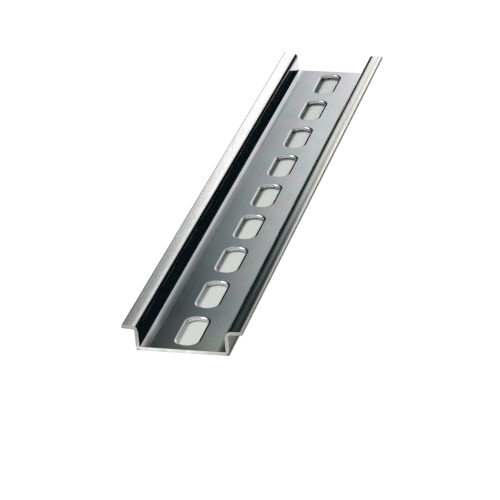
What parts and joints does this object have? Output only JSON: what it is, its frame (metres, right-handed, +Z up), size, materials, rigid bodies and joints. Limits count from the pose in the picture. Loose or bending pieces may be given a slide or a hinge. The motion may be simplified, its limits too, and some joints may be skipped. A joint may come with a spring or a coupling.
{
  "type": "din rail",
  "caption": "Straight top-hat mounting rail folded from zinc-plated steel strip, with side flanges that devices clip onto and a row of slots in its base for screws.",
  "frame": {"origin": "middle of the base's flat underside", "axes": "+Y along the rail, +Z up from the base to the open side and the flanges, +X across the rail"},
  "size_m": [0.035, 0.225, 0.0075],
  "materials": {
    "zinc_plated_steel": "bright zinc plate over cold-rolled strip"
  },
  "bodies": {
    "root": {"slotted_rail": "zinc_plated_steel"}
  },
  "joints": []
}
